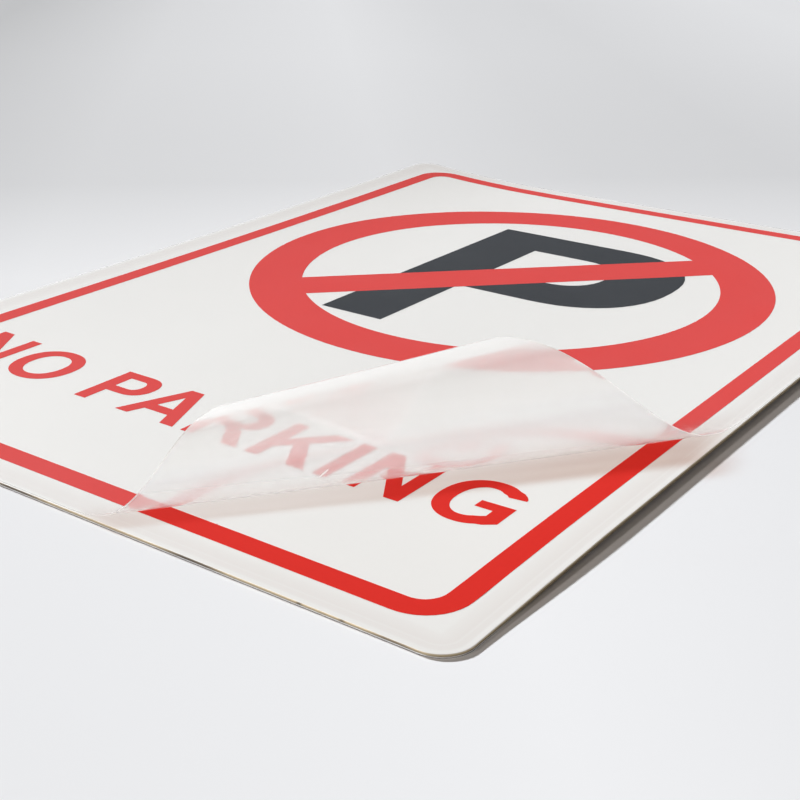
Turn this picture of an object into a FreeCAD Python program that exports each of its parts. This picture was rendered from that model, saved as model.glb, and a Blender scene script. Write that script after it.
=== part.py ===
import math
import os

import FreeCAD
import Part

# Model of a no parking sign that lies on its back, in millimetres.
# X runs along the words, Y points to the top of the sign and Z points out of its face.
# The origin is in the middle of the plate's outline, on the surface that the plate lies on.

# Sign plate: sheared aluminium sheet with rounded corners
plate_width = 254.0
plate_height = 355.6
plate_thickness = 1.0
corner_radius = 8.5
rim_radius = 0.25

# Bow of the plate: its middle lies flat, both long edges rise and one top corner curls up more
flat_width = 100.0
side_rise = 1.1
rise_run = 80.0
corner_curl = 2.8
curl_run = 218.0

# Protective film: one sheet with the plate's outline, its bottom right corner peeled and curled back
film_thickness = 0.15
flap_thickness = 0.11
flap_inset = 0.10

# Scroll of the peeled corner: it rolls about straight lines that all meet in one point, the apex.
# curl_rates gives its bend at even steps of angle from the peel line, in turn per angle.
peel_start_x = 11.4
peel_end_y = -7.65
apex_setback = 133.1
curl_rates = (0.6, 11.6, 15.7, 15.6, 9.8, 1.7)
curl_rate_step = 0.09
curl_end_width = 3.0
root_overlap = 0.008

# How finely the curved sheets are built
wing_sections = 11
flap_sections = 30
flap_points = 7
roll_steps = 400

# Places that follow from the sizes above
right = plate_width / 2
top = plate_height / 2
flat_half = flat_width / 2
overhang = 4.0
film_middle = plate_thickness + film_thickness / 2
UP = FreeCAD.Vector(0, 0, 1)
SAME_DIRECTION = 1
CORNER_CENTER = FreeCAD.Vector(right - corner_radius, corner_radius - top, 0)


def smooth(share):
    """Ease from 0 to 1 with level ends."""
    share = min(max(share, 0.0), 1.0)
    return share * share * (3 - 2 * share)


def edge_rise(side, y):
    """Height of the left (-1) or right (1) long edge above the plate's flat middle, at y."""
    height = side_rise * smooth((y + top) / rise_run)
    if side < 0:
        height += corner_curl * max(0.0, (y - top + curl_run) / curl_run) ** 2
    return height


def rise(x, y):
    """Height of the bowed plate above its flat middle, at any point of its outline."""
    share = max(0.0, (abs(x) - flat_half) / (right - flat_half))
    return edge_rise(1 if x > 0 else -1, y) * share ** 2


def outline():
    """Flat face with the plate's outline, a rectangle with round corners."""
    box = Part.makeBox(plate_width, plate_height, 1, FreeCAD.Vector(-right, -top, 0))
    upright = [edge for edge in box.Edges if abs(edge.tangentAt(edge.FirstParameter).z) > 0.5]
    rounded = box.makeFillet(corner_radius, upright)
    return next(face for face in rounded.Faces if face.CenterOfMass.z < 0.01)


def through_all(face):
    """Prism of a flat face, taller than everything that it cuts."""
    height = 2 * overhang + plate_thickness + side_rise + corner_curl
    return face.translated(FreeCAD.Vector(0, 0, -overhang)).extrude(UP * height)


def wing(side, low, high):
    """Curved slab beside the flat middle, lofted through sections with parabolic edges."""
    inner = side * flat_half
    outer = side * (right + overhang)
    length = plate_height + 2 * overhang
    sections = []
    for index in range(wing_sections + 1):
        y = length * (index / wing_sections - 0.5)
        skins = []
        for level in (low, high):
            parabola = Part.BezierCurve()
            parabola.setPoles([
                FreeCAD.Vector(inner, y, level),
                FreeCAD.Vector((inner + outer) / 2, y, level),
                FreeCAD.Vector(outer, y, level + rise(outer, y)),
            ])
            skins.append(parabola.toShape())
        sections.append(closed_section(skins[0], skins[1]))
    return Part.makeLoft(sections, True)


def closed_section(low_edge, high_edge):
    """Closed wire of two edges that run the same way and the short lines between their ends."""
    low_start, low_end = ends(low_edge)
    high_start, high_end = ends(high_edge)
    near = Part.makeLine(high_start, low_start)
    far = Part.makeLine(low_end, high_end)
    return Part.Wire([low_edge, far, high_edge, near])


def ends(edge):
    return edge.valueAt(edge.FirstParameter), edge.valueAt(edge.LastParameter)


def bowed_slab(low, high):
    """Sheet with the plate's bow, between two levels over the flat middle, larger than the outline."""
    length = plate_height + 2 * overhang
    corner = FreeCAD.Vector(-flat_half, -length / 2, low)
    middle = Part.makeBox(flat_width, length, high - low, corner)
    return middle.fuse([wing(-1, low, high), wing(1, low, high)])


def on_face_rim(edge):
    """Whether an edge of the plate runs round its face."""
    halfway = (edge.FirstParameter + edge.LastParameter) / 2
    middle = edge.valueAt(halfway)
    at_face = abs(middle.z - rise(middle.x, middle.y) - plate_thickness) < 0.05
    at_side = abs(middle.x) > right - corner_radius / 2
    at_end = abs(middle.y) > top - corner_radius / 2
    return at_face and (at_side or at_end) and abs(edge.tangentAt(halfway).z) < 0.5


def sign_plate():
    """Aluminium plate, bowed and with the soft rim that shearing leaves round its face."""
    plate = bowed_slab(0, plate_thickness).common(through_all(outline())).Solids[0]
    return plate.makeFillet(rim_radius, [edge for edge in plate.Edges if on_face_rim(edge)])


def peel_direction():
    """Unit vector along the line where the film leaves the face."""
    start = FreeCAD.Vector(peel_start_x, -top, 0)
    return (FreeCAD.Vector(right, peel_end_y, 0) - start).normalize()


def apex():
    """Point that all straight lines of the scroll run through, behind the start of the peel line."""
    return FreeCAD.Vector(peel_start_x, -top, 0) - peel_direction() * apex_setback


def heading(vector):
    return math.atan2(vector.y, vector.x)


def curl_rate(angle):
    """Bend of the scroll at an angle from the peel line."""
    place = min(max(angle / curl_rate_step, 0.0), len(curl_rates) - 1.001)
    index = int(place)
    share = place - index
    return curl_rates[index] * (1 - share) + curl_rates[index + 1] * share


def scroll_lines(angles):
    """Direction and outward normal of the scroll's straight line, for each of the rising angles."""
    along = FreeCAD.Rotation(UP, -math.degrees(angles[0])).multVec(peel_direction())
    normal = FreeCAD.Vector(UP)
    longest = (angles[-1] - angles[0]) / roll_steps
    lines = [(along, normal)]
    for start, end in zip(angles, angles[1:]):
        count = math.ceil((end - start) / longest)
        move = (end - start) / count
        for index in range(count):
            angle = start + (index + 0.5) * move
            rate = curl_rate(angle) if angle > 0 else 0.0
            axis = -(normal + along * rate)
            turn = FreeCAD.Rotation(axis, math.degrees(axis.Length * move))
            along = turn.multVec(along)
            normal = turn.multVec(normal)
        lines.append((along, normal))
    return lines


def flat_reach(angle):
    """Distances from the apex where the line at this angle enters and leaves the flat sheet."""
    origin = apex()
    direction = heading(peel_direction()) - angle
    ray = FreeCAD.Vector(math.cos(direction), math.sin(direction), 0)
    enter = (flap_inset - top - origin.y) / ray.y
    leave = (right - flap_inset - origin.x) / ray.x
    middle = (CORNER_CENTER - origin).dot(ray)
    off_center = (origin + ray * middle - CORNER_CENTER).Length
    radius = corner_radius - flap_inset
    if off_center < radius:
        half_chord = math.sqrt(radius ** 2 - off_center ** 2)
        if origin.x + ray.x * enter > CORNER_CENTER.x:
            enter = middle - half_chord
        if origin.y + ray.y * leave < CORNER_CENTER.y:
            leave = middle + half_chord
    return enter, leave


def last_angle():
    """Angle at which the scroll's line is only a short chord of the film's round corner."""
    to_center = CORNER_CENTER - apex()
    center_angle = heading(peel_direction()) - heading(to_center)
    off_center = math.sqrt((corner_radius - flap_inset) ** 2 - (curl_end_width / 2) ** 2)
    return center_angle + math.asin(off_center / to_center.Length)


def skin(rows):
    """Smooth surface through rows of points."""
    surface = Part.BSplineSurface()
    surface.interpolate(rows)
    return surface


def rims(surface):
    """The four edges round a smooth surface, in a fixed order."""
    first_u, last_u, first_v, last_v = surface.bounds()
    curves = [surface.uIso(first_u), surface.uIso(last_u), surface.vIso(first_v), surface.vIso(last_v)]
    return [curve.toShape() for curve in curves]


def flap():
    """Peeled corner of the film: it leaves the face, rolls back over itself and ends low inside."""
    span = last_angle() + root_overlap
    shares = [index / flap_sections for index in range(flap_sections + 1)]
    angles = [span * (1 - (1 - share) ** 1.5) - root_overlap for share in shares]
    origin = apex()
    low_rows = []
    high_rows = []
    for angle, (along, normal) in zip(angles, scroll_lines(angles)):
        enter, leave = flat_reach(angle)
        offset = normal * (flap_thickness / 2)
        points = []
        for index in range(flap_points):
            point = origin + along * (enter + (leave - enter) * index / (flap_points - 1))
            point.z += film_middle + rise(point.x, point.y)
            points.append(point)
        low_rows.append([point - offset for point in points])
        high_rows.append([point + offset for point in points])
    low_skin = skin(low_rows)
    high_skin = skin(high_rows)
    faces = [low_skin.toShape(), high_skin.toShape()]
    for low_rim, high_rim in zip(rims(low_skin), rims(high_skin)):
        faces.append(Part.makeRuledSurface(low_rim, high_rim, SAME_DIRECTION))
    shell = Part.Shell(faces)
    shell.sewShape()
    return Part.Solid(shell)


def peeled_area():
    """Flat face that covers everything beyond the peel line."""
    along = peel_direction() * plate_height
    away = FreeCAD.Vector(along.y, -along.x, 0)
    start = FreeCAD.Vector(peel_start_x, -top, 0) - along
    corners = [start, start + along * 3, start + along * 3 + away, start + away, start]
    return Part.Face(Part.makePolygon(corners))


def protective_film():
    """Film that still sticks to the face, joined to the scroll along the peel line."""
    slab = bowed_slab(plate_thickness, plate_thickness + film_thickness)
    stuck = slab.common(through_all(outline().cut(peeled_area())))
    return stuck.fuse(flap())


def main():
    os.makedirs("parts", exist_ok=True)
    pieces = {
        "sign_plate": sign_plate(),
        "protective_film": protective_film(),
    }
    for name, shape in pieces.items():
        shape.exportStep("parts/" + name + ".step")
        print(name, "solids", len(shape.Solids), "valid", shape.isValid(), "volume", round(shape.Volume, 1))


main()
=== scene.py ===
"""Looks of a no parking sign: printed face, aluminium edge and a protective film peeled at one corner.

Sizes in the settings and tables are in millimetres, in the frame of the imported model.
"""

import math

import bmesh
import bpy
from bpy.props import FloatProperty, FloatVectorProperty, PointerProperty
from bpy.types import Operator, Panel, PropertyGroup
from mathutils import Matrix, Quaternion, Vector
from mathutils.bvhtree import BVHTree


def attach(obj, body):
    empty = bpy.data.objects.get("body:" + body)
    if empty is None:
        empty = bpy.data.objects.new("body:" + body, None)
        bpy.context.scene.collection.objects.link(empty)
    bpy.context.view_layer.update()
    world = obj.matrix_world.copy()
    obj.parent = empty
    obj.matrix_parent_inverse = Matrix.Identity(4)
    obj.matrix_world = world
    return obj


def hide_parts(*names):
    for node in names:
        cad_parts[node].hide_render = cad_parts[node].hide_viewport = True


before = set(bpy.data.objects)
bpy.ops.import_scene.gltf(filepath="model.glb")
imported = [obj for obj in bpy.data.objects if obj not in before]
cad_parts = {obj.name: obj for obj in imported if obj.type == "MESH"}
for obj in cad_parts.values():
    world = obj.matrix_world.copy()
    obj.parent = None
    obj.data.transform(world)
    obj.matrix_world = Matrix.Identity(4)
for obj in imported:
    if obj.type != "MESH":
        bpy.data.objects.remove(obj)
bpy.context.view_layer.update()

bl_info = {
    "name": "No Parking Sign",
    "version": (1, 0, 0),
    "blender": (4, 5, 0),
    "location": "View3D > Sidebar > Sign",
    "description": "Builds the looks of a printed sign plate with a half peeled protective film",
    "category": "Object",
}

MM = 0.001
UP = Vector((0, 0, 1))
CUT_TOLERANCE = 1e-7

# Plate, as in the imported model
HALF_WIDTH = 127.0
HALF_HEIGHT = 177.8
CORNER_RADIUS = 8.5
THICKNESS = 1.0
FLAT_HALF = 50.0
SIDE_RISE = 1.1
RISE_RUN = 80.0
CORNER_CURL = 2.8
CURL_RUN = 218.0

# Scroll of the peeled corner: bend at even steps of angle from the peel line, in turn per angle
PEEL_START = Vector((11.4, -HALF_HEIGHT, 0))
PEEL_END = Vector((HALF_WIDTH, -7.65, 0))
APEX_SETBACK = 133.1
CURL_RATES = (0.6, 11.6, 15.7, 15.6, 9.8, 1.7)
CURL_RATE_STEP = 0.09

# Angles on the scroll, from the peel line: steps and end of its table, last and middle straight line,
# and the line from which it keeps clear of the face
TABLE_STEP = 0.0005
TABLE_END = 0.46
LAST_RULING = 0.44
MIDDLE_RULING = 0.2
LANDING = 0.12

# Colours of the plate, next to its paint: painted shade for the margin, specks, painted dark reflections for
# the edge, and bare metal
MARGIN_SHADE = (0.785, 0.745, 0.725)
SPECK_COLOR = (0.55, 0.42, 0.42)
DARK_REFLECTION_METAL = (0.03, 0.025, 0.03)
BARE_METAL = (0.46, 0.38, 0.26)

# Bands of painted shade along the margin's rolled rim, by the distance in metres from the plate's core
# rectangle
MARGIN_BANDS = (
    (0.0, 0.0), (0.001, 0.3), (0.0044, 0.7), (0.005, 0.35), (0.0054, 0.65),
    (0.0066, 0.6), (0.0072, 0.0), (0.0085, 0.0),
)

# Painted dark reflections along the bare edge: how bright it is, by the place in metres along the words
EDGE_REFLECTIONS = (
    (-0.02, 1.0), (-0.009, 0.25), (-0.002, 0.3), (0.006, 1.0), (0.044, 1.0), (0.052, 0.2), (0.060, 0.3),
    (0.066, 1.0), (0.086, 1.0), (0.087, 0.1), (0.088, 1.0), (0.0978, 1.0), (0.0988, 0.2), (0.0998, 1.0),
    (0.105, 1.0), (0.110, 0.45), (0.115, 0.5), (0.120, 1.0),
)

# Small marks: middle in mm, slant in degrees and half sizes in mm. They run through the whole height.
FACE_SPECKS = (
    ((-37.6, -114.1), 0, (0.6, 0.35)), ((14.2, -165.5), 30, (0.6, 0.3)), ((48.0, -161.9), 60, (0.7, 0.35)),
)
FILM_SCRATCH = (((67.5, -143.1), 0, (2.2, 0.35)),)
ANY_HEIGHT = 1000.0

# Large letter: its stem and bowl, and the hole in its bowl
STEM_LEFT, STEM_RIGHT = -35.3, -9.6
LETTER_LOW, LETTER_HIGH = -17.9, 107.5
BOWL_POWER = 2.3

# Words: widths of the letters in thousandths of the letter size, and how far a P draws the next one in
ADVANCES = {"N": 722, "O": 778, " ": 278, "P": 667, "A": 722, "R": 722, "K": 722, "I": 278, "G": 778}
KERN_AFTER_P = 2.2


class PrintSettings(PropertyGroup):
    paint: FloatVectorProperty(
        name="Paint", description="Paint of the face and the back", size=3, subtype="COLOR",
        default=(0.85, 0.836, 0.82),
    )
    red: FloatVectorProperty(
        name="Red", description="Ink of the border, the ring and the words", size=3, subtype="COLOR",
        default=(0.75, 0.033, 0.025),
    )
    black: FloatVectorProperty(
        name="Black", description="Ink of the large letter", size=3, subtype="COLOR",
        default=(0.004, 0.005, 0.008),
    )
    ring_radius: FloatProperty(
        name="Ring radius", description="Outer radius of the ring, in mm", default=97.1
    )
    ring_width: FloatProperty(
        name="Ring width", description="Width of the ring's band, in mm", default=19.5
    )
    ring_center: FloatVectorProperty(
        name="Ring centre", description="Middle of the ring on the face, in mm", size=2, default=(1.0, 49.0)
    )
    bar_width: FloatProperty(
        name="Bar width", description="Width of the slanted bar, in mm", default=19.4
    )
    bar_angle: FloatProperty(name="Bar angle", description="Slant of the bar, in degrees", default=45.1)
    bar_offset: FloatProperty(
        name="Bar offset", description="Bar's distance from the centre, in mm", default=2.14
    )
    border_low: FloatVectorProperty(
        name="Border start", description="Bottom left of the border, in mm", size=2,
        default=(-115.5, -168.4),
    )
    border_high: FloatVectorProperty(
        name="Border end", description="Top right of the border, in mm", size=2, default=(117.7, 171.0)
    )
    border_width: FloatProperty(
        name="Border width", description="Width of the border line, in mm", default=6.6
    )
    border_radius: FloatProperty(
        name="Border radius", description="Outer corner radius, in mm", default=13.0
    )
    word_start: FloatVectorProperty(
        name="Word start", description="Left end of the words' base line, in mm", size=2,
        default=(-103.1, -126.3),
    )
    word_size: FloatProperty(
        name="Word size", description="Size of the letters' square, in mm", default=32.0
    )
    word_spacing: FloatProperty(
        name="Word spacing", description="Extra room after a letter, in mm", default=0.57
    )
    ink_lift: FloatProperty(
        name="Ink lift", description="Height of the ink over the paint, in mm", default=0.035
    )
    cut_size: FloatProperty(
        name="Cut size", description="Largest side of the ink's facets, in mm", default=6.0
    )


class FilmSettings(PropertyGroup):
    thickness: FloatProperty(name="Thickness", description="Thickness of the film, in mm", default=0.1)
    lift: FloatProperty(
        name="Lift", description="Height of the film's top over the face, in mm", default=0.25
    )
    inset: FloatProperty(
        name="Inset", description="Distance of the film from the plate's rim, in mm", default=0.2
    )
    ruling_step: FloatProperty(
        name="Ruling step", description="Angle between the scroll's lines", default=0.002,
        subtype="ANGLE",
    )
    cut_size: FloatProperty(
        name="Cut size", description="Length of the scroll's facets, in mm", default=4.0
    )


class StageSettings(PropertyGroup):
    floor_size: FloatProperty(
        name="Floor size", description="Side of the floor, in m", default=8.0, subtype="DISTANCE"
    )
    lens: FloatProperty(
        name="Lens", description="Focal length on a 36 mm sensor, in mm", default=61.254
    )
    camera_place: FloatVectorProperty(
        name="Camera place", description="Place of the camera, in mm", size=3,
        default=(253.25, -372.68, 154.71),
    )
    camera_ahead: FloatVectorProperty(
        name="Camera ahead", description="Direction that the camera looks in", size=3, subtype="DIRECTION",
        default=(-0.53785, 0.75054, -0.38394),
    )
    camera_down: FloatVectorProperty(
        name="Camera down", description="Direction of the picture's lower edge", size=3, subtype="DIRECTION",
        default=(0.22947, -0.30789, -0.92334),
    )
    key_power: FloatProperty(
        name="Key power", description="Strength of the far lamp, in W/m2", default=5.75
    )
    fill_power: FloatProperty(
        name="Fill power", description="Power of the soft lamp", default=80.0, unit="POWER"
    )
    world_level: FloatProperty(
        name="World level", description="Strength of the light from all round", default=0.14
    )


def smooth(share):
    """Ease from 0 to 1 with level ends."""
    share = min(max(share, 0.0), 1.0)
    return share * share * (3 - 2 * share)


def ease(value, start, end):
    """Ease from 0 where the value is at the start to 1 where it is at the end."""
    return smooth((value - start) / (end - start))


def rise(x, y):
    """Height of the bowed plate above its flat middle, in mm."""
    share = max(0.0, (abs(x) - FLAT_HALF) / (HALF_WIDTH - FLAT_HALF))
    height = SIDE_RISE * smooth((y + HALF_HEIGHT) / RISE_RUN)
    if x < 0:
        height += CORNER_CURL * max(0.0, (y - HALF_HEIGHT + CURL_RUN) / CURL_RUN) ** 2
    return height * share ** 2


def new_material(name):
    """New material with one plain shader."""
    material = bpy.data.materials.new(name)
    material.use_nodes = True
    tree = material.node_tree
    tree.nodes.clear()
    output = tree.nodes.new("ShaderNodeOutputMaterial")
    shader = tree.nodes.new("ShaderNodeBsdfPrincipled")
    tree.links.new(shader.outputs["BSDF"], output.inputs["Surface"])
    return material, tree, shader


def feed(tree, node, inputs):
    """Set a node's inputs to plain values, or link them to other nodes' outputs."""
    for key, value in inputs.items():
        socket = node.inputs[key]
        if isinstance(value, bpy.types.NodeSocket):
            tree.links.new(value, socket)
        elif socket.type == "RGBA":
            socket.default_value = (*value, 1)
        else:
            socket.default_value = value


def add_node(tree, kind, inputs):
    """New node with its inputs set or linked."""
    node = tree.nodes.new(kind)
    feed(tree, node, inputs)
    return node


def add_attribute(tree, name):
    """Value that the mesh holds at each of its vertices."""
    node = tree.nodes.new("ShaderNodeAttribute")
    node.attribute_name = name
    return node.outputs["Fac"]


def add_range(tree, source, first, last, low=0.0, high=1.0):
    """Value that runs from low to high between two levels of the source."""
    return add_node(tree, "ShaderNodeMapRange", {
        "Value": source, "From Min": first, "From Max": last, "To Min": low, "To Max": high,
    }).outputs["Result"]


def add_math(tree, operation, first, second):
    """Sum, product or the like of two values, each one given as a number or as a socket."""
    node = tree.nodes.new("ShaderNodeMath")
    node.operation = operation
    feed(tree, node, {0: first, 1: second})
    return node.outputs["Value"]


def add_largest(tree, *values):
    """Largest of some values."""
    largest = values[0]
    for value in values[1:]:
        largest = add_math(tree, "MAXIMUM", largest, value)
    return largest


def add_vector_math(tree, operation, first, second=(0, 0, 0)):
    """Result of one operation on vectors: a number for a length or a product along a direction."""
    node = tree.nodes.new("ShaderNodeVectorMath")
    node.operation = operation
    feed(tree, node, {0: first, 1: second})
    return node.outputs["Value" if operation in ("LENGTH", "DOT_PRODUCT") else "Vector"]


def add_along(tree, source, direction):
    """Distance along a direction."""
    return add_vector_math(tree, "DOT_PRODUCT", source, direction)


def add_reach(tree, source):
    """Distance from the plate's core rectangle, which is the corner radius at the outline."""
    core = ((HALF_WIDTH - CORNER_RADIUS) * MM, (HALF_HEIGHT - CORNER_RADIUS) * MM, 1.0)
    reach = add_vector_math(tree, "SUBTRACT", add_vector_math(tree, "ABSOLUTE", source), core)
    return add_vector_math(tree, "LENGTH", add_vector_math(tree, "MAXIMUM", reach))


def add_ramp(tree, source, stops, tint=(1.0, 1.0, 1.0)):
    """Shades of a colour at given places along a value."""
    first, last = stops[0][0], stops[-1][0]
    shade = tree.nodes.new("ShaderNodeValToRGB")
    for place, _ in stops[1:-1]:
        shade.color_ramp.elements.new((place - first) / (last - first))
    for stop, (place, level) in zip(shade.color_ramp.elements, stops):
        stop.position = (place - first) / (last - first)
        stop.color = (*[level * part for part in tint], 1)
    feed(tree, shade, {"Fac": add_range(tree, source, first, last)})
    return shade.outputs["Color"]


def add_mix(tree, factor, first, second, blend="MIX"):
    """Mix of two colours, each one given as a colour or as a socket."""
    mix = tree.nodes.new("ShaderNodeMix")
    mix.data_type = "RGBA"
    mix.blend_type = blend
    feed(tree, mix, {"Factor": factor, "A": first, "B": second})
    return mix.outputs["Result"]


def add_blend(tree, factor, first, second):
    """Mix of two finishes."""
    return add_node(tree, "ShaderNodeMixShader", {0: factor, 1: first, 2: second}).outputs["Shader"]


def add_bump(tree, shader, scale, distance, strength, detail=3.0, coordinates="Object"):
    """Fine unevenness of the surface. Gives the kinds of coordinates and the uneven pattern."""
    place = tree.nodes.new("ShaderNodeTexCoord").outputs
    noise = add_node(tree, "ShaderNodeTexNoise", {
        "Vector": place[coordinates], "Scale": scale, "Detail": detail,
    }).outputs["Fac"]
    bump = add_node(tree, "ShaderNodeBump", {"Strength": strength, "Distance": distance, "Height": noise})
    feed(tree, shader, {"Normal": bump.outputs["Normal"]})
    return place, noise


def add_marks(tree, source, marks):
    """Small oval marks, each one with its middle, its slant in degrees and its half sizes."""
    spots = []
    for (x, y), slant, (long, short) in marks:
        turn = tree.nodes.new("ShaderNodeMapping")
        turn.vector_type = "TEXTURE"
        feed(tree, turn, {
            "Vector": source,
            "Location": (x * MM, y * MM, 0),
            "Rotation": (0, 0, math.radians(slant)),
            "Scale": (long * MM, short * MM, ANY_HEIGHT),
        })
        length = add_vector_math(tree, "LENGTH", turn.outputs["Vector"])
        spots.append(add_range(tree, length, 1.0, 0.6))
    return add_largest(tree, *spots)


def ink_material(name, color):
    """Printed ink, slightly uneven in its colour and its gloss."""
    material, tree, shader = new_material(name)
    place, noise = add_bump(tree, shader, 900.0, 0.00002, 0.3)
    patches = add_node(tree, "ShaderNodeTexNoise", {"Vector": place["Object"], "Scale": 40.0})
    darker = tuple(part * 0.94 for part in color)
    feed(tree, shader, {
        "Base Color": add_mix(tree, noise, color, darker),
        "Roughness": add_range(tree, patches.outputs["Fac"], 0.3, 0.7, 0.56, 0.64),
        "Specular IOR Level": 0.02,
    })
    return material


def plate_material(paint):
    """White paint on the face and back with painted shade bands in its margin, and bare sheared metal round
    the edge with painted dark reflections and a painted contact shadow at its foot.
    """
    material, tree, shader = new_material("painted_plate")
    place, _ = add_bump(tree, shader, 700.0, 0.00002, 0.3)
    upright = add_math(tree, "ABSOLUTE", add_along(tree, place["Normal"], UP), 0.0)
    edge = add_range(tree, upright, 0.7, 0.9, 1.0, 0.0)
    height = add_along(tree, place["Object"], UP)
    bare = add_range(tree, height, 0.00032, 0.00038)

    # Painted shade: darker bands along the margin's rolled rim
    margin_shade = add_ramp(tree, add_reach(tree, place["Object"]), MARGIN_BANDS)
    face = add_mix(tree, margin_shade, paint, MARGIN_SHADE)
    face = add_mix(tree, add_marks(tree, place["Object"], FACE_SPECKS), face, SPECK_COLOR)

    # Painted reflections: dark patches along the bare edge stand for dark things mirrored in it
    edge_reflections = add_ramp(tree, add_along(tree, place["Object"], (1, 0, 0)), EDGE_REFLECTIONS)
    metal = add_mix(tree, edge_reflections, DARK_REFLECTION_METAL, BARE_METAL)
    # Painted contact shadow: the lowest tenth of a millimetre of the edge is dark; above it the edge is
    # white paint
    low = add_ramp(tree, height, ((0.0, 0.08), (0.00009, 0.12), (0.00013, 0.98), (0.001, 0.98)))
    feed(tree, shader, {
        "Base Color": add_mix(tree, edge, face, add_mix(tree, bare, low, metal)),
        "Metallic": edge,
        "Roughness": add_range(tree, edge, 0.0, 1.0, 0.6, 0.38),
        "Specular IOR Level": 0.1,
    })
    return material


def add_cloud(tree, bulge):
    """Even scatter of light at the film's lit side and through it, weaker and darker in the bulge as painted
    shade.
    """
    color = add_mix(tree, bulge, (0.44, 0.435, 0.43), (0.34, 0.33, 0.325))
    through = add_node(tree, "ShaderNodeBsdfTranslucent", {"Color": color}).outputs["BSDF"]
    back = add_node(tree, "ShaderNodeBsdfDiffuse", {"Color": color}).outputs["BSDF"]
    return add_node(tree, "ShaderNodeAddShader", {0: through, 1: back}).outputs["Shader"]


def add_haze_level(tree, place, facing, tucked):
    """Share of haze: more where the film is high, seen at a slant, doubled or scratched."""
    height = add_range(tree, add_along(tree, place["Object"], UP), 0.004, 0.026, 0.24, 0.45)
    slanted = add_range(tree, facing, 0.8, 1.0, 0.0, 0.45)
    doubled = add_math(tree, "MULTIPLY", tucked, 0.6)
    return add_largest(tree, height, slanted, doubled, add_marks(tree, place["UV"], FILM_SCRATCH))


def add_rim(tree, place, tucked):
    """Cut rim of the film, and the wider one that shows through where it is tucked in."""
    reach = add_reach(tree, place["UV"])
    rim = add_range(tree, reach, (CORNER_RADIUS - 0.5) * MM, (CORNER_RADIUS - 0.3) * MM, 0.0, 0.36)
    inner = add_range(tree, reach, (CORNER_RADIUS - 1.5) * MM, (CORNER_RADIUS - 0.9) * MM)
    return add_largest(tree, rim, add_math(tree, "MULTIPLY", inner, tucked))


def film_material():
    """Hazy clear plastic: nearly unseen where it sticks, and blurring what it hovers over."""
    material, tree, shader = new_material("clear_film")
    place, noise = add_bump(tree, shader, 40.0, 0.0002, 0.1, detail=1.0, coordinates="UV")
    feed(tree, shader, {
        "Base Color": (1.0, 1.0, 1.0), "Roughness": 0.12, "IOR": 1.25, "Transmission Weight": 1.0,
    })
    facing = add_node(tree, "ShaderNodeLayerWeight", {"Blend": 0.5}).outputs["Facing"]
    lifted = add_attribute(tree, "lifted")
    bulge = add_attribute(tree, "bulge")
    tucked = add_attribute(tree, "tucked")

    cloud = add_cloud(tree, bulge)
    satin = add_node(tree, "ShaderNodeBsdfGlossy", {"Color": (0.93, 0.925, 0.915), "Roughness": 0.35})
    # Painted shade: the bulge takes more of the darker scatter and less of the bright satin; the tucked part
    # takes more scatter too
    dull = add_largest(
        tree, add_math(tree, "MULTIPLY", bulge, 0.6), add_range(tree, tucked, 0.0, 1.0, 0.1, 0.5)
    )
    milk = add_blend(tree, dull, satin.outputs["BSDF"], cloud)
    haze = add_blend(tree, add_haze_level(tree, place, facing, tucked), shader.outputs["BSDF"], milk)

    clear = add_node(tree, "ShaderNodeBsdfTransparent", {"Color": (1.0, 1.0, 1.0)}).outputs["BSDF"]
    veil = add_node(tree, "ShaderNodeBsdfDiffuse", {"Color": (0.82, 0.88, 0.95)}).outputs["BSDF"]
    stuck = add_blend(tree, add_range(tree, noise, 0.0, 1.0, 0.026, 0.038), clear, veil)

    sheet = add_blend(tree, lifted, stuck, haze)
    thinned = add_math(tree, "MULTIPLY", add_range(tree, facing, 0.86, 0.97, 0.0, 0.85), lifted)
    sheet = add_blend(tree, thinned, sheet, clear)
    sheet = add_blend(tree, add_rim(tree, place, tucked), sheet, cloud)

    # Light that passes through the film gets a warm tint at the front of the bulge
    tinted = add_math(tree, "MULTIPLY", add_math(tree, "POWER", facing, 3.0), bulge)
    tinted = add_largest(tree, tinted, add_attribute(tree, "front"))
    tint = add_mix(tree, tinted, (1.0, 1.0, 1.0), (0.82, 0.71, 0.67))
    passing = add_node(tree, "ShaderNodeBsdfTransparent", {"Color": tint}).outputs["BSDF"]
    path = tree.nodes.new("ShaderNodeLightPath").outputs
    light = add_largest(tree, path["Is Shadow Ray"], path["Is Diffuse Ray"])
    feed(tree, tree.nodes["Material Output"], {"Surface": add_blend(tree, light, sheet, passing)})
    return material


def add_piece(name, mesh, material):
    """New object at the origin that rides on the sign's body."""
    piece = bpy.data.objects.new(name, mesh)
    bpy.context.scene.collection.objects.link(piece)
    mesh.materials.append(material)
    for polygon in mesh.polygons:
        polygon.use_smooth = True
    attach(piece, "root")
    return piece


def curve_points(center, radius_x, radius_y, start, end, count, power=2.0):
    """Points along a rounded curve between two angles in degrees."""
    points = []
    for index in range(count + 1):
        angle = math.radians(start + (end - start) * index / count)
        reach_x = abs(math.cos(angle)) ** (2 / power)
        reach_y = abs(math.sin(angle)) ** (2 / power)
        x = center[0] + math.copysign(reach_x, math.cos(angle)) * radius_x
        y = center[1] + math.copysign(reach_y, math.sin(angle)) * radius_y
        points.append((x, y))
    return points


def closed_curve(center, radius_x, radius_y, count, power=2.0):
    """Points all the way round a circle or an oval."""
    return curve_points(center, radius_x, radius_y, 0, 360 - 360 / count, count - 1, power)


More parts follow.
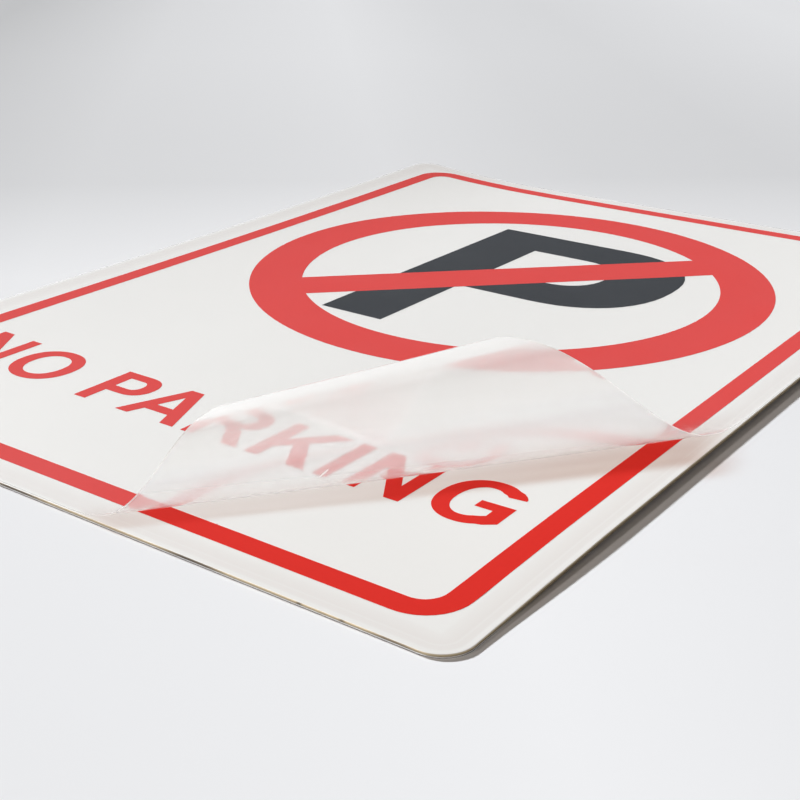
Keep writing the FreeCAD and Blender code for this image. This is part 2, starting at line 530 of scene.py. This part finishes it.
def rounded_rectangle(low, high, radius, count=10):
    """Outline of a rectangle with round corners."""
    points = []
    centers = (
        (high[0] - radius, high[1] - radius),
        (low[0] + radius, high[1] - radius),
        (low[0] + radius, low[1] + radius),
        (high[0] - radius, low[1] + radius),
    )
    for turn, center in enumerate(centers):
        points += curve_points(center, radius, radius, 90 * turn, 90 * turn + 90, count)
    return points


def fill(bm, loops):
    """Flat faces inside the first loop and outside the other ones."""
    edges = []
    for loop in loops:
        verts = [bm.verts.new((x * MM, y * MM, 0)) for x, y in loop]
        for first, second in zip(verts, verts[1:] + verts[:1]):
            edges.append(bm.edges.new((first, second)))
    bmesh.ops.triangle_fill(bm, use_beauty=True, use_dissolve=False, edges=edges, normal=UP)


def cut(bm, point, normal):
    """Cut all faces along a plane."""
    geometry = bm.verts[:] + bm.edges[:] + bm.faces[:]
    bmesh.ops.bisect_plane(
        bm, geom=geometry, dist=CUT_TOLERANCE, plane_co=Vector(point) * MM, plane_no=Vector(normal)
    )


def cut_grid(bm, size):
    """Cut flat faces on the plate's wings so that they can follow its bow."""
    for side in (-1, 1):
        x = FLAT_HALF
        while x < HALF_WIDTH:
            cut(bm, (side * x, 0, 0), (1, 0, 0))
            x += size
    y = -HALF_HEIGHT + size
    while y < HALF_HEIGHT:
        cut(bm, (0, y, 0), (0, 1, 0))
        y += size * 2


def face_tree():
    """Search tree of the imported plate, to lay the ink on its face."""
    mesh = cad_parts["sign_plate"].data
    vertices = [vertex.co.copy() for vertex in mesh.vertices]
    polygons = [tuple(polygon.vertices) for polygon in mesh.polygons]
    return BVHTree.FromPolygons(vertices, polygons)


def lay_on_face(bm, lift):
    """Set flat geometry down on the plate's face."""
    tree = face_tree()
    for vertex in bm.verts:
        hit = tree.ray_cast(Vector((vertex.co.x, vertex.co.y, 0.1)), -UP)[0]
        vertex.co.z = hit.z + lift * MM
    bmesh.ops.recalc_face_normals(bm, faces=bm.faces[:])
    for face in bm.faces:
        if face.normal.z < 0:
            face.normal_flip()


def ink_piece(name, bm, ink, color, settings):
    """New sheet of ink on the plate's face, from flat geometry."""
    material = bpy.data.materials.get(ink) or ink_material(ink, color)
    cut_grid(bm, settings.cut_size)
    lay_on_face(bm, settings.ink_lift)
    mesh = bpy.data.meshes.new(name)
    bm.to_mesh(mesh)
    bm.free()
    return add_piece(name, mesh, material)


def scroll_table():
    """Direction and outward normal of the scroll's straight line, at even steps of angle."""
    along = (PEEL_END - PEEL_START).normalized()
    normal = UP.copy()
    table = [(along.copy(), normal.copy())]
    angle = 0.0
    while angle < TABLE_END:
        place = min((angle + TABLE_STEP / 2) / CURL_RATE_STEP, len(CURL_RATES) - 1.001)
        index = int(place)
        share = place - index
        rate = CURL_RATES[index] * (1 - share) + CURL_RATES[index + 1] * share
        axis = -(normal + along * rate)
        turn = Quaternion(axis.normalized(), axis.length * TABLE_STEP)
        along = turn @ along
        normal = turn @ normal
        table.append((along.copy(), normal.copy()))
        angle += TABLE_STEP
    return table


class SIGN_OT_plate(Operator):
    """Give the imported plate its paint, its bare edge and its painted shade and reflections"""

    bl_idname = "sign.plate"
    bl_label = "Finish Plate"

    def execute(self, context):
        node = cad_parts["sign_plate"]
        node.data.materials.clear()
        node.data.materials.append(plate_material(context.scene.sign_print.paint))
        return {"FINISHED"}


class SIGN_OT_border(Operator):
    """Print the red line round the face"""

    bl_idname = "sign.border"
    bl_label = "Print Border"

    def execute(self, context):
        settings = context.scene.sign_print
        low = Vector(settings.border_low)
        high = Vector(settings.border_high)
        inset = Vector((settings.border_width, settings.border_width))
        bm = bmesh.new()
        outer = rounded_rectangle(low, high, settings.border_radius)
        inner = rounded_rectangle(low + inset, high - inset, settings.border_radius - settings.border_width)
        fill(bm, [outer, inner])
        ink_piece("border_ink", bm, "red_ink", settings.red, settings)
        return {"FINISHED"}


class SIGN_OT_ring(Operator):
    """Print the red ring and its slanted bar"""

    bl_idname = "sign.ring"
    bl_label = "Print Ring"

    def execute(self, context):
        settings = context.scene.sign_print
        center = Vector(settings.ring_center)
        outer = settings.ring_radius
        inner = outer - settings.ring_width
        bm = bmesh.new()
        fill(bm, [closed_curve(center, outer, outer, 120), closed_curve(center, inner, inner, 120)])
        low = settings.bar_offset - settings.bar_width / 2
        high = settings.bar_offset + settings.bar_width / 2
        low_angle = math.degrees(math.asin(low / inner))
        high_angle = math.degrees(math.asin(high / inner))
        slant = settings.bar_angle
        bar = curve_points(center, inner, inner, slant + low_angle, slant + high_angle, 8)
        bar += curve_points(center, inner, inner, slant + 180 - high_angle, slant + 180 - low_angle, 8)
        fill(bm, [bar])
        ink_piece("ring_ink", bm, "red_ink", settings.red, settings)
        return {"FINISHED"}


class SIGN_OT_letter(Operator):
    """Print the black letter under the bar"""

    bl_idname = "sign.letter"
    bl_label = "Print Letter"

    def execute(self, context):
        settings = context.scene.sign_print
        outer = [(STEM_LEFT, LETTER_LOW), (STEM_LEFT, LETTER_HIGH), (19.5, LETTER_HIGH)]
        outer += curve_points((19.5, 69.0), 38.6, 38.5, 90, -90, 24, BOWL_POWER)[1:]
        outer += [(STEM_RIGHT, 30.5), (STEM_RIGHT, LETTER_LOW)]
        counter = [(STEM_RIGHT, 86.1), (13.5, 86.1)]
        counter += curve_points((13.5, 69.05), 17.5, 17.05, 90, -90, 16, BOWL_POWER)[1:]
        counter += [(STEM_RIGHT, 52.0)]
        bm = bmesh.new()
        fill(bm, [outer, counter])
        slant = math.radians(settings.bar_angle)
        across = Vector((-math.sin(slant), math.cos(slant), 0))
        center = Vector((*settings.ring_center, 0))
        low = center + across * (settings.bar_offset - settings.bar_width / 2)
        high = center + across * (settings.bar_offset + settings.bar_width / 2)
        cut(bm, low, across)
        cut(bm, high, across)
        covered = []
        for face in bm.faces:
            middle = face.calc_center_median() / MM
            if (middle - low).dot(across) > 0 > (middle - high).dot(across):
                covered.append(face)
        bmesh.ops.delete(bm, geom=covered, context="FACES")
        ink_piece("letter_ink", bm, "black_ink", settings.black, settings)
        return {"FINISHED"}


def glyph(name):
    """Outline of a plain block letter and the outline of its hole, if it has one."""
    if name == "N":
        return [[
            (74, 0), (74, 716), (216, 716), (505, 240), (505, 716),
            (640, 716), (640, 0), (498, 0), (209, 470), (209, 0),
        ]]
    if name == "O":
        return [
            closed_curve((389, 358), 346, 370, 60, 2.15),
            closed_curve((389, 358), 199, 246, 36, 2.15),
        ]
    if name == "P":
        outer = [(74, 0), (74, 716), (400, 716)]
        outer += curve_points((400, 490), 221, 226, 90, -90, 16, 2.2)[1:]
        outer += [(218, 264), (218, 0)]
        counter = [(218, 595), (390, 595)] + curve_points((390, 490), 83, 105, 90, -90, 12, 2.2)[1:]
        return [outer, counter + [(218, 385)]]
    if name == "A":
        outer = [(0, 0), (279, 716), (433, 716), (718, 0), (561, 0), (498, 163), (212, 163), (153, 0)]
        return [outer, [(256, 284), (354, 549), (452, 284)]]
    if name == "R":
        outer = [(74, 0), (74, 716), (435, 716)]
        outer += curve_points((435, 512), 223, 204, 90, -58, 16, 2.2)[1:]
        outer += [(478, 322), (530, 290), (575, 232), (722, 0), (547, 0), (432, 186)]
        outer += [(388, 252), (350, 289), (300, 299), (218, 299), (218, 0)]
        counter = [(218, 595), (425, 595)] + curve_points((425, 504), 84, 91, 90, -90, 12, 2.2)[1:]
        return [outer, counter + [(218, 413)]]
    if name == "K":
        return [[
            (74, 0), (74, 716), (218, 716), (218, 398), (510, 716), (704, 716),
            (434, 436), (719, 0), (532, 0), (335, 335), (218, 215), (218, 0),
        ]]
    if name == "I":
        return [[(67, 0), (67, 716), (212, 716), (212, 0)]]
    outer = [(728, 572), (723, 600), (696, 640), (650, 679)]
    outer += curve_points((405, 358), 342, 402, 58, 180, 22, 2.15)
    outer += curve_points((405, 358), 342, 370, 186, 300, 22, 2.15)
    outer += [(640, 50), (737, 118), (736, 406), (423, 404), (421, 290), (590, 288), (592, 192), (555, 166)]
    outer += curve_points((402, 358), 188, 247, 300, 186, 18, 2.15)
    return [outer + curve_points((402, 358), 188, 276, 180, 60, 16, 2.15) + [(540, 584), (572, 556)]]


class SIGN_OT_words(Operator):
    """Print the two words under the ring"""

    bl_idname = "sign.words"
    bl_label = "Print Words"

    def execute(self, context):
        settings = context.scene.sign_print
        scale = settings.word_size / 1000
        left, base = settings.word_start
        bm = bmesh.new()
        for letter in "NO PARKING":
            if letter != " ":
                loops = glyph(letter)
                fill(bm, [[(left + x * scale, base + y * scale) for x, y in loop] for loop in loops])
            left += ADVANCES[letter] * scale + settings.word_spacing
            if letter == "P":
                left -= KERN_AFTER_P
        ink_piece("word_ink", bm, "red_ink", settings.red, settings)
        return {"FINISHED"}


class SIGN_OT_film(Operator):
    """Lay the film on the face and roll its peeled corner back"""

    bl_idname = "sign.film"
    bl_label = "Lay Film"

    def execute(self, context):
        settings = context.scene.sign_film
        along = (PEEL_END - PEEL_START).normalized()
        apex = PEEL_START - along * APEX_SETBACK
        start = math.atan2(along.y, along.x)
        bm = self.flat_sheet(settings)
        self.cut_sheet(bm, apex, start, settings)
        self.roll(bm, apex, start, settings)
        bmesh.ops.solidify(bm, geom=bm.faces[:], thickness=settings.thickness * MM)
        mesh = bpy.data.meshes.new("film_sheet")
        bm.to_mesh(mesh)
        bm.free()
        film = add_piece("film_sheet", mesh, film_material())
        mesh.set_sharp_from_angle(angle=math.radians(50))
        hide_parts("protective_film")
        return {"FINISHED"}

    @staticmethod
    def flat_sheet(settings):
        """One flat face with the film's outline."""
        bm = bmesh.new()
        low = (settings.inset - HALF_WIDTH, settings.inset - HALF_HEIGHT)
        high = (HALF_WIDTH - settings.inset, HALF_HEIGHT - settings.inset)
        outline = rounded_rectangle(low, high, CORNER_RADIUS - settings.inset, 12)
        bm.faces.new([bm.verts.new((x * MM, y * MM, 0)) for x, y in outline])
        return bm

    @classmethod
    def cut_sheet(cls, bm, apex, start, settings):
        """Cut the flat sheet finely where it bends, and keep its flat places as its UV map."""
        angle = 0.0
        while angle < LAST_RULING:
            cut(bm, apex, (-math.sin(start - angle), math.cos(start - angle), 0))
            angle += settings.ruling_step
        middle = Vector((math.cos(start - MIDDLE_RULING), math.sin(start - MIDDLE_RULING), 0))
        cls.cut_some(bm, apex, start, apex, middle, settings.cut_size, 100, 400, peeled=True)
        cls.cut_some(bm, apex, start, Vector(), Vector((1, 0, 0)), 5.0, -125, 126, peeled=False)
        cls.cut_some(bm, apex, start, Vector(), Vector((0, 1, 0)), 10.0, -170, 171, peeled=False)
        uv = bm.loops.layers.uv.new("flat")
        for face in bm.faces:
            for loop in face.loops:
                loop[uv].uv = loop.vert.co.xy

    @staticmethod
    def cut_some(bm, apex, start, origin, direction, size, first, last, peeled):
        """Cut only the peeled or only the stuck faces, at even distances along a direction."""
        distance = first
        while distance < last:
            faces = []
            for face in bm.faces:
                place = face.calc_center_median() / MM - apex
                beyond = start - math.atan2(place.y, place.x) > 0
                if beyond == peeled:
                    faces.append(face)
            geometry = list({part for face in faces for part in (*face.verts, *face.edges, face)})
            bmesh.ops.bisect_plane(
                bm, geom=geometry, dist=CUT_TOLERANCE,
                plane_co=(origin + direction * distance) * MM, plane_no=direction,
            )
            distance += size

    @staticmethod
    def roll(bm, apex, start, settings):
        """Move the flat sheet to its rolled shape, and mark its zones for the film's look."""
        table = scroll_table()
        lifted = bm.verts.layers.float.new("lifted")
        bulge = bm.verts.layers.float.new("bulge")
        front = bm.verts.layers.float.new("front")
        tucked = bm.verts.layers.float.new("tucked")
        for vertex in bm.verts:
            place = vertex.co / MM
            ray = place - apex
            distance = ray.length
            angle = start - math.atan2(ray.y, ray.x)
            lift = settings.lift
            if angle > 0:
                share = angle / TABLE_STEP
                index = min(int(share), len(table) - 2)
                share -= index
                direction = table[index][0].lerp(table[index + 1][0], share).normalized()
                place = apex + direction * distance
                lift *= 1 - ease(angle, 0, LANDING)
                vertex[lifted] = ease(place.z, 0, 3) if angle < LANDING else 1
                vertex[bulge] = ease(angle, 0.08, 0.12) * ease(angle, 0.18, 0.16)
                depth = 0.45 + 0.55 * ease(distance, 170, 290)
                depth *= ease(vertex.co.x / MM, HALF_WIDTH, HALF_WIDTH - 10)
                vertex[front] = depth * ease(angle, 0, 0.09) * ease(angle, 0.092, 0.078)
                vertex[tucked] = ease(angle, 0.28, 0.31)
            place.z += THICKNESS + rise(place.x, place.y) + lift
            vertex.co = place * MM


class SIGN_OT_stage(Operator):
    """Set up the floor, the lamps and the camera"""

    bl_idname = "sign.stage"
    bl_label = "Set Stage"

    def execute(self, context):
        settings = context.scene.sign_stage
        self.add_floor(settings)
        self.add_light(settings)
        self.add_camera(context, settings)
        return {"FINISHED"}

    @staticmethod
    def add_floor(settings):
        material, tree, shader = new_material("floor")
        place, _ = add_bump(tree, shader, 300.0, 0.00002, 0.2)
        # Painted falloff of the light: the floor's colour is darker away from the camera and far to the left
        away = ((-0.25, 0.91), (-0.12, 0.935), (0.05, 0.94), (0.2, 0.76), (0.3, 0.76), (0.6, 0.79))
        across = ((-0.3, 0.62), (-0.15, 0.88), (0.0, 0.99), (0.1, 0.91), (0.2, 0.89), (0.4, 1.0))
        painted_falloff = []
        for direction, stops in (((-0.65, 0.76, 0), away), ((0.76, 0.65, 0), across)):
            along = add_along(tree, place["Object"], direction)
            painted_falloff.append(add_ramp(tree, along, stops, (0.998, 1.0, 1.014)))
        feed(tree, shader, {
            "Base Color": add_mix(tree, 1.0, *painted_falloff, blend="MULTIPLY"),
            "Roughness": 0.6,
            "Specular IOR Level": 0.05,
        })
        mesh = bpy.data.meshes.new("floor")
        bm = bmesh.new()
        bmesh.ops.create_grid(bm, x_segments=1, y_segments=1, size=settings.floor_size / 2)
        bm.to_mesh(mesh)
        bm.free()
        mesh.materials.append(material)
        floor = bpy.data.objects.new("floor", mesh)
        bpy.context.scene.collection.objects.link(floor)

    @staticmethod
    def add_light(settings):
        world = bpy.data.worlds.new("studio")
        world.use_nodes = True
        tree = world.node_tree
        direction = tree.nodes.new("ShaderNodeTexCoord").outputs["Generated"]
        stops = ((0.0, 0.9), (0.12, 0.9), (0.25, 0.5), (0.45, 0.5), (0.6, 0.8), (1.0, 0.95))
        level = add_ramp(tree, add_along(tree, direction, UP), stops, (1.0, 0.88, 0.78))
        path = tree.nodes.new("ShaderNodeLightPath").outputs
        seen = add_largest(tree, path["Is Glossy Ray"], path["Is Camera Ray"])
        feed(tree, tree.nodes["Background"], {
            "Color": add_mix(tree, seen, level, (0.88, 0.87, 0.86)),
            "Strength": add_range(tree, seen, 0.0, 1.0, settings.world_level, 1.0),
        })
        bpy.context.scene.world = world
        key = bpy.data.lights.new("key", "SUN")
        key.energy = settings.key_power
        key.angle = math.radians(4)
        fill = bpy.data.lights.new("fill", "AREA")
        fill.energy = settings.fill_power
        fill.size = 0.7
        for light, place, color in (
            (key, (-0.89, 0.157, 0.423), (0.93, 0.965, 0.985)),
            (fill, (-2.42, -4.2, 2.8), (1.0, 0.91, 0.82)),
        ):
            light.color = color
            lamp = bpy.data.objects.new(light.name, light)
            lamp.location = place
            lamp.rotation_euler = (-lamp.location).to_track_quat("-Z", "Y").to_euler()
            bpy.context.scene.collection.objects.link(lamp)

    @staticmethod
    def add_camera(context, settings):
        data = bpy.data.cameras.new("photo")
        data.lens = settings.lens
        data.sensor_width = 36.0
        data.clip_start = 0.01
        camera = bpy.data.objects.new("photo", data)
        ahead = Vector(settings.camera_ahead).normalized()
        up = -Vector(settings.camera_down)
        side = ahead.cross(up).normalized()
        up = side.cross(ahead)
        turn = Matrix((side, up, -ahead)).transposed().to_4x4()
        camera.matrix_world = Matrix.Translation(Vector(settings.camera_place) * MM) @ turn
        context.scene.collection.objects.link(camera)
        context.scene.camera = camera


class SIGN_PT_panel(Panel):
    """Settings and steps of the sign"""

    bl_idname = "SIGN_PT_panel"
    bl_label = "No Parking Sign"
    bl_space_type = "VIEW_3D"
    bl_region_type = "UI"
    bl_category = "Sign"

    def draw(self, context):
        for name in ("sign_print", "sign_film", "sign_stage"):
            box = self.layout.box()
            settings = getattr(context.scene, name)
            for key in settings.__annotations__:
                box.prop(settings, key)
        for operator in STEPS:
            self.layout.operator(operator.bl_idname)


SETTINGS = {"sign_print": PrintSettings, "sign_film": FilmSettings, "sign_stage": StageSettings}
STEPS = (
    SIGN_OT_plate, SIGN_OT_border, SIGN_OT_ring, SIGN_OT_letter,
    SIGN_OT_words, SIGN_OT_film, SIGN_OT_stage,
)


def register():
    for cls in (*SETTINGS.values(), *STEPS, SIGN_PT_panel):
        bpy.utils.register_class(cls)
    for name, cls in SETTINGS.items():
        setattr(bpy.types.Scene, name, PointerProperty(type=cls))


def unregister():
    for name in SETTINGS:
        delattr(bpy.types.Scene, name)
    for cls in reversed((*SETTINGS.values(), *STEPS, SIGN_PT_panel)):
        bpy.utils.unregister_class(cls)


def main():
    """Build the sign and its stage."""
    register()
    bpy.context.scene.view_settings.view_transform = "Standard"
    bpy.ops.sign.plate()
    bpy.ops.sign.border()
    bpy.ops.sign.ring()
    bpy.ops.sign.letter()
    bpy.ops.sign.words()
    bpy.ops.sign.film()
    bpy.ops.sign.stage()


if __name__ == "__main__":
    main()
